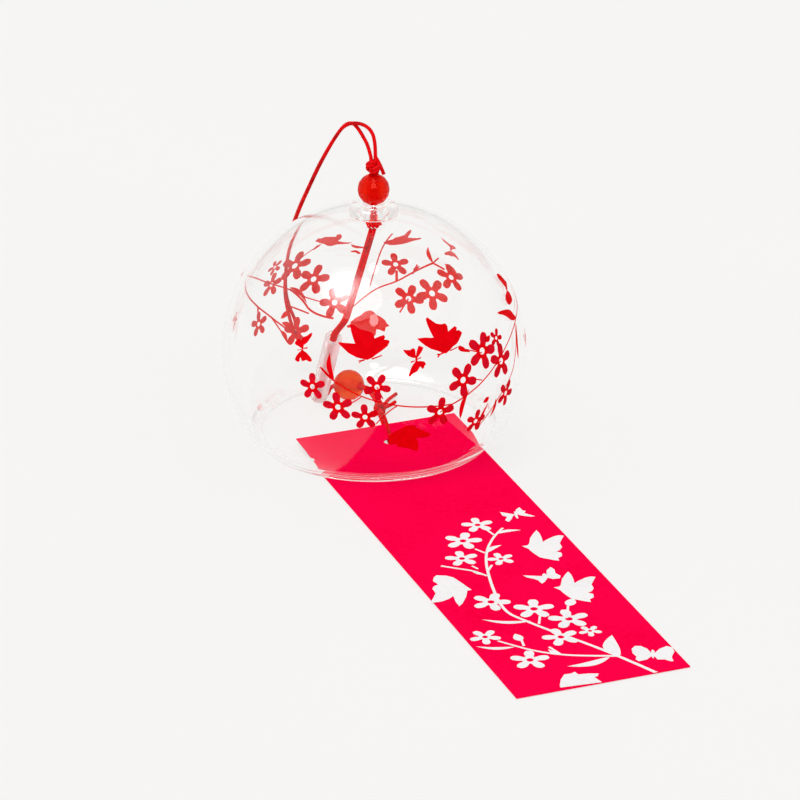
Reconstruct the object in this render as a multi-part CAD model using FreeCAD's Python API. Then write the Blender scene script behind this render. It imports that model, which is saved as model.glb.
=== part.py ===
import FreeCAD, Part
import math
import os

# Glass wind bell standing mouth down on a table, millimetres, +Z up.
# The bell's axis is vertical. A paper strip lies on the table, passes under the
# bell's front lip and runs towards -Y. Heights count from the table.
# The origin is the middle of the standing object's outline on the table.

# Working clearances
overrun = 2.0
seat_gap = 0.3
cord_room = 0.3

# Share of the shorter run on which each rounded corner of a cord starts
corner_share = 0.45

# Paper strip
strip_width = 45.0
strip_length = 153.0
strip_thickness = 0.3
strip_head_y = 1.0
strip_middle_x = 0.8
strip_head_rise = 1.5
strip_ramp_start = 17.5
strip_ramp_end = 12.5
strip_hole_radius = 1.6
strip_hole_inset = 10.5

# Glass globe
globe_radius = 40.0
globe_wall = 1.2
curl_radius = 21.0
curl_start_share = 0.42
lip_bead_radius = 1.05

# Thick ring round the crown hole
collar_radius = 6.45
collar_rise = 1.8
crown_hole_radius = 1.7
collar_top_radius = 4.0
collar_shoulder_drop = 0.35
collar_shoulder_inset = 0.85
collar_mouth_drop = 0.2
collar_mouth_inset = 0.3
collar_mouth_depth = 1.1

# Cord, one strand and two strands laid side by side
strand_diameter = 1.0
doubled_diameter = 1.9

# Beads
bead_radius = 4.15
lower_bead_x = 1.5
lower_bead_y = 23.2
lower_bead_clearance = 0.1
lower_bead_turn = -58.2
lower_bead_rise = 11.3

# Knot above the top bead
top_knot_radius = 2.2
top_knot_turn_radius = 0.85
top_knot_turn_spacing = 1.5
top_knot_tilt = 16.0
top_knot_turns = 2
knot_bite = 0.3

# Stop knot below the crown
stop_knot_drop = 4.7
stop_knot_lead = 1.4
stop_knot_length = 4.3
stop_knot_turn_radius = 0.52
stop_knot_radius = 0.86
stop_knot_turn = -20.7
stop_knot_turns = 4

# Clapper tube
tube_radius = 2.35
tube_wall = 1.1
tube_edge_radius = 0.35
tube_top = (-8.3, 8.16, 25.9)
tube_foot = (-6.65, 24.85, 1.55)
tube_lip_clearance = 1.6

# Knot that ties the strip on
tie_knot_x = 5.6
tie_knot_y = 10.6
tie_knot_radius = 1.65
tie_knot_turn_radius = 0.62
tie_knot_turn_spacing = 1.05
tie_knot_turns = 4
tie_knot_tilt = 24.0
tie_knot_turn = 70.6
tie_knot_clearance = 0.25

# Routes of the cords, measured from the bell's axis
loop_route = [
    (0.45, -0.15, 78.3),
    (0.5, -0.2, 82.6),
    (-0.35, 0.67, 86.3),
    (-2.6, 3.4, 87.5),
    (-5.4, 6.8, 86.2),
    (-7.2, 10.0, 81.2),
    (-9.3, 14.7, 73.0),
    (-10.9, 18.6, 65.4),
    (-12.3, 24.0, 57.2),
    (-12.8, 31.1, 49.5),
    (-12.2, 36.7, 41.3),
    (-11.0, 40.4, 31.8),
    (-10.7, 41.1, 25.3),
    (-9.7, 40.2, 19.1),
    (-8.7, 39.2, 15.3),
    (-6.92, 40.6, 11.4),
    (-5.35, 44.9, 11.6),
    (-5.9, 46.75, 15.7),
    (-7.8, 45.2, 19.6),
    (-9.7, 43.3, 25.1),
    (-10.5, 41.6, 31.5),
    (-11.7, 37.9, 40.9),
    (-12.4, 32.2, 49.2),
    (-11.9, 25.2, 56.9),
    (-10.5, 19.8, 65.1),
    (-8.9, 15.9, 72.7),
    (-6.8, 11.1, 80.8),
    (-5.09, 8.2, 84.87),
    (-3.72, 6.0, 85.7),
    (-2.03, 3.0, 84.0),
    (-0.85, 1.4, 81.5),
    (-0.55, 0.5, 78.3),
]
clapper_steps = [
    (-6.3, 4.9, 31.5),
    (-8.44, 6.75, 27.96),
    (-6.71, 24.3, 2.36),
]
near_link_route = [
    (-6.18, 24.4, 2.13),
    (-5.95, 25.35, 0.85),
    (-4.7, 25.95, 0.7),
    (-3.3, 26.65, 0.9),
    (-1.8, 27.52, 3.1),
    (4.15, 17.92, 5.35),
    (5.3, 15.9, 3.9),
    (5.7, 13.35, 2.7),
]
far_link_route = [
    (-7.23, 24.5, 2.13),
    (-7.05, 25.75, 0.85),
    (-5.8, 26.95, 0.7),
    (-3.1, 28.0, 0.9),
    (-0.9, 28.08, 3.1),
    (5.05, 18.48, 5.35),
    (6.4, 16.2, 3.95),
    (6.78, 13.05, 2.67),
]
long_tail_route = [
    (5.85, 12.85, 1.1),
    (7.9, 15.9, 0.85),
    (10.6, 18.3, 0.7),
    (14.2, 20.6, 0.65),
]
short_tail_route = [
    (6.87, 12.5, 1.1),
    (9.3, 14.3, 0.75),
    (11.9, 16.4, 0.65),
]
tie_route = [
    (5.0, 8.7, 2.5),
    (4.2, 3.2, 2.9),
    (2.9, -2.2, 2.65),
    (1.9, -6.2, 2.62),
    (1.15, -8.6, 2.68),
    (0.87, -9.88, 2.7),
    (0.8, -10.45, 1.7),
    (0.87, -9.88, 0.7),
    (1.2, -8.4, 0.64),
    (1.85, -5.8, 0.66),
    (2.6, -1.8, 0.66),
    (3.7, 2.6, 0.7),
    (4.8, 8.7, 1.2),
]

# Places that follow from the sizes above
lip_bottom = strip_thickness + seat_gap
lip_height = lip_bottom + lip_bead_radius
mouth_reach = math.hypot(tube_foot[0], tube_foot[1]) + tube_radius + tube_lip_clearance
curl_sink = curl_radius - lip_bead_radius
curl_middle = (globe_radius - curl_radius) * math.sqrt(1 - curl_start_share ** 2)
curl_reach = mouth_reach + lip_bead_radius - curl_middle
curl_height = lip_height + math.sqrt(curl_sink ** 2 - curl_reach ** 2)
globe_centre_height = curl_height + (globe_radius - curl_radius) * curl_start_share
stop_knot_height = globe_centre_height + globe_radius - stop_knot_drop
clapper_route = [(-seat_gap, seat_gap, stop_knot_height - stop_knot_lead)] + clapper_steps
bell_axis_y = (strip_length - strip_head_y - globe_radius) / 2
collar_top = globe_centre_height + globe_radius + collar_rise
bead_hole_radius = doubled_diameter / 2 + cord_room
tube_bore_radius = tube_radius - tube_wall
collar_mouth_radius = crown_hole_radius + collar_mouth_inset
bead_sink = bead_radius - math.sqrt(bead_radius ** 2 - collar_mouth_radius ** 2)
top_bead_height = collar_top - collar_mouth_drop - bead_sink + bead_radius + seat_gap
bead_flat = math.sqrt(bead_radius ** 2 - bead_hole_radius ** 2)
top_knot_bottom = top_bead_height + bead_flat + seat_gap
top_knot_lean = (top_knot_radius - top_knot_turn_radius) * math.sin(math.radians(top_knot_tilt))
top_knot_height = top_knot_bottom + top_knot_turn_spacing / 2 + top_knot_turn_radius + top_knot_lean
tie_knot_height = tie_knot_radius + tie_knot_clearance


def point(x, y, z):
    """A point measured from the bell's axis, in the object's own frame."""
    return FreeCAD.Vector(x, y + bell_axis_y, z)


def arc(first, through, last):
    return Part.Arc(first, through, last).toShape()


def line(first, last):
    return Part.LineSegment(first, last).toShape()


def spun(edges):
    """Solid of revolution about the bell's axis from a closed outline in the XZ plane."""
    face = Part.Face(Part.Wire(edges))
    return face.revolve(FreeCAD.Vector(0, 0, 0), FreeCAD.Vector(0, 0, 1), 360)


def on_circle(centre, radius, direction):
    """Point of a circle in the XZ plane in the direction of a vector."""
    return centre + FreeCAD.Vector(direction).normalize() * radius


def between(centre, radius, first, last):
    """Middle of the shorter arc between two points of a circle."""
    return on_circle(centre, radius, (first - centre).normalize() + (last - centre).normalize())


def make_bell():
    """Blown globe: sphere, tighter curl into the mouth, fire-polished lip and crown ring."""
    centre = FreeCAD.Vector(0, 0, globe_centre_height)
    drop = globe_radius * curl_start_share
    out = FreeCAD.Vector(math.sqrt(globe_radius ** 2 - drop ** 2), 0, -drop)
    curl_centre = centre + FreeCAD.Vector(out).normalize() * (globe_radius - curl_radius)
    lip_centre = FreeCAD.Vector(curl_middle + curl_reach, 0, lip_height)

    inner_radius = globe_radius - globe_wall
    inner_curl = curl_radius - globe_wall
    outer_curl_start = on_circle(centre, globe_radius, out)
    inner_curl_start = on_circle(centre, inner_radius, out)
    lip_direction = (lip_centre - curl_centre).normalize()
    lip_outside = curl_centre + lip_direction * curl_radius
    turn = math.acos((curl_sink ** 2 + inner_curl ** 2 - lip_bead_radius ** 2) / (2 * curl_sink * inner_curl))
    lip_angle = math.atan2(lip_direction.z, lip_direction.x) + turn
    lip_inside = curl_centre + FreeCAD.Vector(math.cos(lip_angle), 0, math.sin(lip_angle)) * inner_curl
    lip_far = lip_centre + (lip_centre - (lip_outside + lip_inside) / 2).normalize() * lip_bead_radius

    foot_height = globe_centre_height + math.sqrt(globe_radius ** 2 - collar_radius ** 2)
    collar_foot = FreeCAD.Vector(collar_radius, 0, foot_height)
    collar_crest = FreeCAD.Vector(collar_top_radius, 0, collar_top)
    shoulder = FreeCAD.Vector(collar_radius - collar_shoulder_inset, 0, collar_top - collar_shoulder_drop)
    mouth = FreeCAD.Vector(collar_mouth_radius, 0, collar_top - collar_mouth_drop)
    mouth_edge = FreeCAD.Vector(crown_hole_radius, 0, collar_top - collar_mouth_depth)
    hole_height = globe_centre_height + math.sqrt(inner_radius ** 2 - crown_hole_radius ** 2)
    hole_edge = FreeCAD.Vector(crown_hole_radius, 0, hole_height)

    edges = [
        arc(collar_foot, between(centre, globe_radius, collar_foot, outer_curl_start), outer_curl_start),
        arc(outer_curl_start, between(curl_centre, curl_radius, outer_curl_start, lip_outside), lip_outside),
        arc(lip_outside, lip_far, lip_inside),
        arc(lip_inside, between(curl_centre, inner_curl, lip_inside, inner_curl_start), inner_curl_start),
        arc(inner_curl_start, between(centre, inner_radius, inner_curl_start, hole_edge), hole_edge),
        line(hole_edge, mouth_edge),
        arc(mouth_edge, mouth, collar_crest),
        arc(collar_crest, shoulder, collar_foot),
    ]
    bell = spun(edges)
    bell.translate(point(0, 0, 0))
    return bell


def make_bead(place, axis):
    """Round bead drilled along its axis."""
    bead = Part.makeSphere(bead_radius, place)
    length = 2 * (bead_radius + overrun)
    start = place - axis * (bead_radius + overrun)
    return bead.cut(Part.makeCylinder(bead_hole_radius, length, start, axis))


def lower_bead_axis():
    turn = math.radians(lower_bead_turn)
    rise = math.radians(lower_bead_rise)
    return FreeCAD.Vector(math.cos(turn) * math.cos(rise), math.sin(turn) * math.cos(rise), math.sin(rise))


def cord_path(name, points, diameter):
    """Straight runs joined by tangent arcs as large as the runs allow."""
    corners = [point(*p) for p in points]
    edges = []
    radii = []
    start = corners[0]
    for before, corner, after in zip(corners, corners[1:], corners[2:]):
        first = (corner - before).normalize()
        second = (after - corner).normalize()
        half_turn = first.getAngle(second) / 2
        reach = min((corner - before).Length, (after - corner).Length) * corner_share
        radius = reach / math.tan(half_turn)
        radii.append(radius)
        leave = corner - first * reach
        join = corner + second * reach
        inward = (second - first).normalize()
        middle = corner + inward * (radius / math.cos(half_turn) - radius)
        edges.append(Part.LineSegment(start, leave).toShape())
        edges.append(Part.Arc(leave, middle, join).toShape())
        start = join
    edges.append(Part.LineSegment(start, corners[-1]).toShape())
    path = Part.Wire(edges)
    if radii:
        print(name, "length", round(path.Length, 1), "least radius", round(min(radii), 2),
              "in diameters", round(min(radii) / diameter, 2))
    return path


def make_cord(name, points, diameter):
    """Round tube along a cord's route."""
    path = cord_path(name, points, diameter)
    ends = [point(*p) for p in points[:2]]
    along = (ends[1] - ends[0]).normalize()
    ring = Part.Wire(Part.makeCircle(diameter / 2, ends[0], along))
    tube = path.makePipeShell([ring], True, False)
    expected = math.pi * diameter ** 2 / 4 * path.Length
    print(name, "volume share of section times length", round(tube.Volume / expected, 4), tube.isValid())
    return tube


def make_neck_cord():
    """Two strands as one round run through the crown hole and the top bead."""
    bottom = stop_knot_height + stop_knot_radius - knot_bite
    length = top_knot_bottom + knot_bite - bottom
    return Part.makeCylinder(doubled_diameter / 2, length, point(0, 0, bottom))


def make_knot(radius, turn_radius, spacing, turns, tilt):
    """Turns of cord drawn tight round a short core, along Z, middle at the origin."""
    ring_radius = radius - turn_radius
    height = (turns - 1) * spacing
    base = FreeCAD.Vector(0, 0, -height / 2 - turn_radius)
    core = Part.makeCylinder(ring_radius, height + 2 * turn_radius, base)
    for index in range(turns):
        ring = Part.makeTorus(ring_radius, turn_radius)
        lean = tilt if index % 2 == 0 else -tilt
        ring.rotate(FreeCAD.Vector(0, 0, 0), FreeCAD.Vector(1, 0, 0), lean)
        ring.translate(FreeCAD.Vector(0, 0, index * spacing - height / 2))
        core = core.fuse(ring)
    return core


def make_top_knot():
    knot = make_knot(top_knot_radius, top_knot_turn_radius, top_knot_turn_spacing, top_knot_turns, top_knot_tilt)
    knot.translate(point(0, 0, top_knot_height))
    return knot


def make_stop_knot():
    """Barrel of turns lying level under the crown hole, longer than the hole is wide."""
    spacing = (stop_knot_length - 2 * stop_knot_turn_radius) / (stop_knot_turns - 1)
    knot = make_knot(stop_knot_radius, stop_knot_turn_radius, spacing, stop_knot_turns, 0)
    knot.rotate(FreeCAD.Vector(0, 0, 0), FreeCAD.Vector(0, 1, 0), 90)
    knot.rotate(FreeCAD.Vector(0, 0, 0), FreeCAD.Vector(0, 0, 1), stop_knot_turn)
    knot.translate(point(0, 0, stop_knot_height))
    return knot


def make_tie_knot():
    """Lumpy knot lying on the table between the lower bead and the strip."""
    knot = make_knot(tie_knot_radius, tie_knot_turn_radius, tie_knot_turn_spacing, tie_knot_turns, tie_knot_tilt)
    knot.rotate(FreeCAD.Vector(0, 0, 0), FreeCAD.Vector(0, 1, 0), 90)
    knot.rotate(FreeCAD.Vector(0, 0, 0), FreeCAD.Vector(0, 0, 1), tie_knot_turn)
    knot.translate(point(tie_knot_x, tie_knot_y, tie_knot_height))
    return knot


def make_clapper_tube():
    """Short glass tube threaded on the doubled cord, its foot on the table."""
    foot = point(*tube_foot)
    along = point(*tube_top) - foot
    length = along.Length
    along.normalize()
    rod = Part.makeCylinder(tube_radius, length, foot, along)
    tube = rod.cut(Part.makeCylinder(tube_bore_radius, length + 2 * overrun, foot - along * overrun, along))
    rims = [edge for edge in tube.Edges if edge.Curve.TypeId == "Part::GeomCircle"]
    return tube.makeFillet(tube_edge_radius, rims)


def make_strip():
    """Card strip: flat under the bell's lip, its head lifted over the tying cord, one punched hole."""
    half = strip_width / 2
    left = strip_middle_x - half
    tail_y = strip_head_y - strip_length
    profile = [
        (tail_y, 0),
        (-strip_ramp_start, 0),
        (-strip_ramp_end, strip_head_rise),
        (strip_head_y, strip_head_rise),
    ]
    under = [point(left, y, z) for y, z in profile]
    over = [point(left, y, z + strip_thickness) for y, z in reversed(profile)]
    corners = under + over
    face = Part.Face(Part.makePolygon(corners + corners[:1]))
    sheet = face.extrude(FreeCAD.Vector(strip_width, 0, 0))
    hole_place = point(strip_middle_x, strip_head_y - strip_hole_inset, strip_head_rise - overrun)
    hole = Part.makeCylinder(strip_hole_radius, strip_thickness + 2 * overrun, hole_place)
    return sheet.cut(hole)


shapes = {
    "glass_bell": make_bell(),
    "top_bead": make_bead(point(0, 0, top_bead_height), FreeCAD.Vector(0, 0, 1)),
    "hanging_loop": make_cord("hanging_loop", loop_route, strand_diameter),
    "top_knot": make_top_knot(),
    "neck_cord": make_neck_cord(),
    "stop_knot": make_stop_knot(),
    "clapper_cord": make_cord("clapper_cord", clapper_route, doubled_diameter),
    "clapper_tube": make_clapper_tube(),
    "near_link": make_cord("near_link", near_link_route, strand_diameter),
    "far_link": make_cord("far_link", far_link_route, strand_diameter),
    "lower_bead": make_bead(point(lower_bead_x, lower_bead_y, bead_radius + lower_bead_clearance), lower_bead_axis()),
    "tie_knot": make_tie_knot(),
    "long_tail": make_cord("long_tail", long_tail_route, strand_diameter),
    "short_tail": make_cord("short_tail", short_tail_route, strand_diameter),
    "tie_loop": make_cord("tie_loop", tie_route, strand_diameter),
    "paper_strip": make_strip(),
}

os.makedirs("parts", exist_ok=True)
for node, shape in shapes.items():
    if shape.ShapeType != "Solid" and len(shape.Solids) == 1:
        shape = shape.Solids[0]
    box = shape.BoundBox
    print(node, shape.ShapeType, shape.isValid(), round(shape.Volume, 2),
          "low", [round(v, 2) for v in (box.XMin, box.YMin, box.ZMin)],
          "high", [round(v, 2) for v in (box.XMax, box.YMax, box.ZMax)])
    shape.exportStep("parts/" + node + ".step")
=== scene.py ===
import math
import bpy
import bmesh
from mathutils import Matrix, Vector


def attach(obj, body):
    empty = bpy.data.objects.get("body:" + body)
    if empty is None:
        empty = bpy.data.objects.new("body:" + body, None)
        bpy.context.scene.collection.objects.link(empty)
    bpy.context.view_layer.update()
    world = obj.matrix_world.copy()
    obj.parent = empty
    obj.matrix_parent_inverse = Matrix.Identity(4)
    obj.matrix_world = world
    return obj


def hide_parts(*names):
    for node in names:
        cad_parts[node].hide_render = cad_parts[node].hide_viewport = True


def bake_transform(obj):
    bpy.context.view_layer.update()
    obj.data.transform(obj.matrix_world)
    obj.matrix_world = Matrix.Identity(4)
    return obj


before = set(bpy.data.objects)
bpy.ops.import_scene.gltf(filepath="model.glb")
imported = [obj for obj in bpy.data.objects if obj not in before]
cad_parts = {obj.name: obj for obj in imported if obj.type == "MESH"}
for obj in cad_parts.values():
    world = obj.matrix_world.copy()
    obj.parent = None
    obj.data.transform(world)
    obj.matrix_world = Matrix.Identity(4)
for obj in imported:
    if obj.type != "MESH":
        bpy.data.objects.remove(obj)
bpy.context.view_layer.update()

# Sizes of the solids, in millimetres from the bell's axis and the table
MM = 0.001
AXIS_Y = 56.0
GLOBE_RADIUS = 40.0
GLOBE_HEIGHT = 24.34
STRIP_TOP = 0.3
STRIP_RIGHT = 23.3
STRIP_END = -152.0
STRAND = 1.0
HALF_PAIR = 0.5
UP = Vector((0, 0, 1))


def at(x, y, z):
    """A point measured from the bell's axis in millimetres, as a point of the frame in metres."""
    return Vector((x * MM, (y + AXIS_Y) * MM, z * MM))


def route(points):
    return [at(*point) for point in points]


GLOBE = at(0, 0, GLOBE_HEIGHT)

# Camera, fitted to the globe's outline, the mouth and the strip's corners
PICTURE = 800
FOCAL = 4735.4
EYE = at(-403.76, -1066.90, 526.15)
AZIMUTH = math.radians(-20.73)
ELEVATION = math.radians(23.12)
AIM_OFFSET = (25.8, -101.7)
SENSOR_WIDTH = 36
CLIP = (0.05, 20)
RIGHT = Vector((math.cos(AZIMUTH), math.sin(AZIMUTH), 0))


def direction(azimuth, elevation):
    """Unit vector from the bell towards a compass turn and a height over the table."""
    level = math.cos(elevation)
    return Vector((math.sin(azimuth) * level, -math.cos(azimuth) * level, math.sin(elevation)))


def make_camera():
    back = direction(AZIMUTH, ELEVATION)
    up = back.cross(RIGHT)
    look = (RIGHT * AIM_OFFSET[0] + up * AIM_OFFSET[1] - back * FOCAL).normalized()
    data = bpy.data.cameras.new("camera")
    data.sensor_width = SENSOR_WIDTH
    data.lens = FOCAL / PICTURE * SENSOR_WIDTH
    data.clip_start, data.clip_end = CLIP
    camera = bpy.data.objects.new("camera", data)
    bpy.context.scene.collection.objects.link(camera)
    side = look.cross(UP).normalized()
    top = side.cross(look)
    turn = Matrix((side, top, -look)).transposed()
    camera.matrix_world = Matrix.Translation(EYE) @ turn.to_4x4()
    bpy.context.scene.camera = camera
    return side, top, look


SIDE, TOP, LOOK = make_camera()


def ray(px, py):
    """Direction in which the camera sees a pixel of the picture."""
    half = PICTURE / 2
    return (SIDE * (px - half) - TOP * (py - half) + LOOK * FOCAL).normalized()


def off_globe(point, height=0.0):
    """The place over a point of the globe, at a height in millimetres above the outer surface."""
    return GLOBE + (point - GLOBE).normalized() * (GLOBE_RADIUS + height) * MM


def on_globe(px, py, front=True):
    """Point of the globe's outer surface that the camera sees at a pixel, on the near or the far half."""
    way = ray(px, py)
    start = EYE - GLOBE
    along = start.dot(way)
    inside = along * along - (start.dot(start) - (GLOBE_RADIUS * MM) ** 2)
    if inside < 0:
        return off_globe(EYE - way * along)
    root = math.sqrt(inside)
    return EYE + way * (-along - root if front else -along + root)


def on_strip(px, py):
    """Point of the strip's printed face at a pixel."""
    way = ray(px, py)
    return EYE + way * ((STRIP_TOP * MM - EYE.z) / way.z)


def seen_at(surface, px, py):
    """Point at a pixel of one of the three printed surfaces: strip, front or back of the globe."""
    return on_strip(px, py) if surface == "strip" else on_globe(px, py, surface == "front")


# Materials
def material(name):
    made = bpy.data.materials.new(name)
    made.use_nodes = True
    nodes = made.node_tree.nodes
    nodes.clear()
    output = nodes.new("ShaderNodeOutputMaterial")
    return made, nodes, made.node_tree.links, output


def noise(nodes, links, scale, detail):
    where = nodes.new("ShaderNodeTexCoord")
    texture = nodes.new("ShaderNodeTexNoise")
    texture.inputs["Scale"].default_value = scale
    texture.inputs["Detail"].default_value = detail
    links.new(where.outputs["Object"], texture.inputs["Vector"])
    return texture.outputs["Fac"]


def height_in_object(nodes, links, coordinates="Object"):
    where = nodes.new("ShaderNodeTexCoord")
    parts = nodes.new("ShaderNodeSeparateXYZ")
    links.new(where.outputs[coordinates], parts.inputs["Vector"])
    return parts.outputs["Z"]


def ramp(nodes, links, source, low, high, span):
    """Colour that runs from low to high while the source runs through the span."""
    colours = nodes.new("ShaderNodeValToRGB")
    for stop, place, colour in zip(colours.color_ramp.elements, span, (low, high)):
        stop.position = place
        stop.color = (*colour, 1)
    links.new(source, colours.inputs["Fac"])
    return colours.outputs["Color"]


def bump(nodes, links, source, strength, distance):
    made = nodes.new("ShaderNodeBump")
    made.inputs["Strength"].default_value = strength
    made.inputs["Distance"].default_value = distance
    links.new(source, made.inputs["Height"])
    return made.outputs["Normal"]


def math_node(nodes, links, operation, first, second):
    made = nodes.new("ShaderNodeMath")
    made.operation = operation
    for slot, value in enumerate((first, second)):
        if isinstance(value, float):
            made.inputs[slot].default_value = value
        else:
            links.new(value, made.inputs[slot])
    return made.outputs["Value"]


def blend_shaders(nodes, links, share, first, second):
    """Mix of two shaders. The share is a number or another node's output."""
    mix = nodes.new("ShaderNodeMixShader")
    if isinstance(share, float):
        mix.inputs["Fac"].default_value = share
    else:
        links.new(share, mix.inputs["Fac"])
    for slot, shader in enumerate((first, second), 1):
        links.new(shader, mix.inputs[slot])
    return mix.outputs["Shader"]


def coloured(nodes, kind, colour):
    """Output of a plain shader node of one kind in one colour."""
    made = nodes.new(kind)
    made.inputs["Color"].default_value = (*colour, 1)
    return made.outputs[0]


SCATTERED_THROUGH = 0.5


def body_colour(nodes, links, colour):
    """Light that a cloudy or deeply coloured glass scatters, part of it turned back and part let through."""
    matte = coloured(nodes, "ShaderNodeBsdfDiffuse", colour)
    glow = coloured(nodes, "ShaderNodeBsdfTranslucent", colour)
    return blend_shaders(nodes, links, SCATTERED_THROUGH, matte, glow)


# Light that bounces on and on inside thick glass is taken as the room's mean colour after this many bounces
DEEP_BOUNCES = 7.5
DEEP_MIRRORINGS = 2.5
ANY_MATTE_BOUNCE = 0.5
# Painted shade: the beads' rim is drawn darker, in their own deep red, where they are seen at a slant
PAINTED_RIM_BLEND = 0.12
PAINTED_RIM_SHARE = 0.85
# The crown's thick glass, where the stray light turns red from the cord and the bead close by, and the lip
CROWN_MIDDLE = (0.0, 0.056, 0.0655)
CROWN_REACH = 0.0068
CROWN_HEIGHTS = (0.0625, 0.0645)
LIP_HEIGHT = 0.003
WALL_IOR = 1.28
THICK_IOR = 1.5
GLASS_RIPPLE = (45.0, 2.0)
GLASS_RELIEF = (0.12, 0.0004)


def wall_ior(nodes, links):
    """The even wall hardly bends or mirrors light; the thick glass of the crown and of the lip does."""
    where = nodes.new("ShaderNodeTexCoord")
    reach = nodes.new("ShaderNodeVectorMath")
    reach.operation = "DISTANCE"
    links.new(where.outputs["Object"], reach.inputs[0])
    reach.inputs[1].default_value = CROWN_MIDDLE
    crown = math_node(nodes, links, "LESS_THAN", reach.outputs["Value"], CROWN_REACH)
    lip = math_node(nodes, links, "LESS_THAN", height_in_object(nodes, links), LIP_HEIGHT)
    thick = math_node(nodes, links, "MAXIMUM", crown, lip)
    added = math_node(nodes, links, "MULTIPLY", thick, THICK_IOR - WALL_IOR)
    return math_node(nodes, links, "ADD", added, WALL_IOR)


def glass_body(nodes, links, look):
    """Clear glass with its ripple, its cloud and, where the look has one, a painted shade that darkens the
    rim seen at a slant, without what long light paths see.
    """
    shader = nodes.new("ShaderNodeBsdfPrincipled")
    shader.inputs["Base Color"].default_value = (*look["colour"], 1)
    shader.inputs["Roughness"].default_value = look["roughness"]
    shader.inputs["IOR"].default_value = look["ior"]
    if "crown_stray" in look:
        links.new(wall_ior(nodes, links), shader.inputs["IOR"])
    shader.inputs["Transmission Weight"].default_value = 1.0
    shader.inputs["Specular IOR Level"].default_value = look["shine"]
    shader.inputs["Specular Tint"].default_value = (*look["shine_tint"], 1)
    ripple = noise(nodes, links, *GLASS_RIPPLE)
    links.new(bump(nodes, links, ripple, *GLASS_RELIEF), shader.inputs["Normal"])
    seen = shader.outputs["BSDF"]
    if "cloud" in look:
        cloud = body_colour(nodes, links, look["cloud_colour"])
        seen = blend_shaders(nodes, links, look["cloud"], seen, cloud)
    if "painted_rim_shade" in look:
        # Painted shade: a darker colour blended in where the surface is seen at a slant
        facing = nodes.new("ShaderNodeLayerWeight")
        facing.inputs["Blend"].default_value = PAINTED_RIM_BLEND
        painted_rim_shade = math_node(nodes, links, "MULTIPLY", facing.outputs["Facing"], PAINTED_RIM_SHARE)
        seen = blend_shaders(nodes, links, painted_rim_shade, seen, body_colour(nodes, links, look["painted_rim_shade"]))
    return seen


def glass_material(name, look):
    """Glass. Light on its way to a matte surface passes straight through, because glass hardly shades."""
    made, nodes, links, output = material(name)
    rays = nodes.new("ShaderNodeLightPath")
    long_path = math_node(nodes, links, "GREATER_THAN", rays.outputs["Ray Depth"], DEEP_BOUNCES)
    many_mirrors = math_node(nodes, links, "GREATER_THAN", rays.outputs["Glossy Depth"], DEEP_MIRRORINGS)
    deep = math_node(nodes, links, "MAXIMUM", long_path, many_mirrors)
    stray = nodes.new("ShaderNodeEmission")
    stray.inputs["Color"].default_value = (*look["stray"], 1)
    if "crown_stray" in look:
        height = height_in_object(nodes, links)
        shade = ramp(nodes, links, height, look["stray"], look["crown_stray"], CROWN_HEIGHTS)
        links.new(shade, stray.inputs["Color"])
    seen = blend_shaders(nodes, links, deep, glass_body(nodes, links, look), stray.outputs["Emission"])
    past_matte = math_node(nodes, links, "GREATER_THAN", rays.outputs["Diffuse Depth"], ANY_MATTE_BOUNCE)
    lighting = math_node(nodes, links, "MAXIMUM", rays.outputs["Is Shadow Ray"], past_matte)
    clear = coloured(nodes, "ShaderNodeBsdfTransparent", look["let_through"])
    links.new(blend_shaders(nodes, links, lighting, seen, clear), output.inputs["Surface"])
    return made


def matte_shader(nodes, links, colour, normal, roughness, shine):
    shader = nodes.new("ShaderNodeBsdfPrincipled")
    links.new(colour, shader.inputs["Base Color"])
    links.new(normal, shader.inputs["Normal"])
    shader.inputs["Roughness"].default_value = roughness
    shader.inputs["Specular IOR Level"].default_value = shine
    return shader.outputs["BSDF"]


def fibre_material(name, dark, light, look):
    """Cord or paper: fine fibres over a slow cloud of lighter and darker patches."""
    made, nodes, links, output = material(name)
    fibre = noise(nodes, links, *look["fibres"])
    mixed = math_node(nodes, links, "ADD", fibre, noise(nodes, links, *look["patches"]))
    colour = ramp(nodes, links, mixed, dark, light, look["span"])
    normal = bump(nodes, links, fibre, *look["relief"])
    shader = matte_shader(nodes, links, colour, normal, look["roughness"], look["shine"])
    links.new(shader, output.inputs["Surface"])
    return made


INK_PATCHES = (420.0, 4.0)
INK_SPAN = (0.3, 0.7)
INK_RELIEF = (0.2, 0.00003)
INK_ROUGHNESS = 0.5
INK_SHINE = 0.03


def ink_material(name, dark, light, filter_share, through):
    """Screen-printed ink on glass: slightly uneven, partly a coloured filter over what lies behind it."""
    made, nodes, links, output = material(name)
    patch = noise(nodes, links, *INK_PATCHES)
    colour = ramp(nodes, links, patch, dark, light, INK_SPAN)
    normal = bump(nodes, links, patch, *INK_RELIEF)
    shader = matte_shader(nodes, links, colour, normal, INK_ROUGHNESS, INK_SHINE)
    glow = nodes.new("ShaderNodeBsdfTranslucent")
    film = nodes.new("ShaderNodeBsdfTransparent")
    for layer in (glow, film):
        links.new(colour, layer.inputs["Color"])
    solid = blend_shaders(nodes, links, through, shader, glow.outputs["BSDF"])
    ink = blend_shaders(nodes, links, filter_share, solid, film.outputs["BSDF"])
    links.new(ink, output.inputs["Surface"])
    return made


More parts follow.
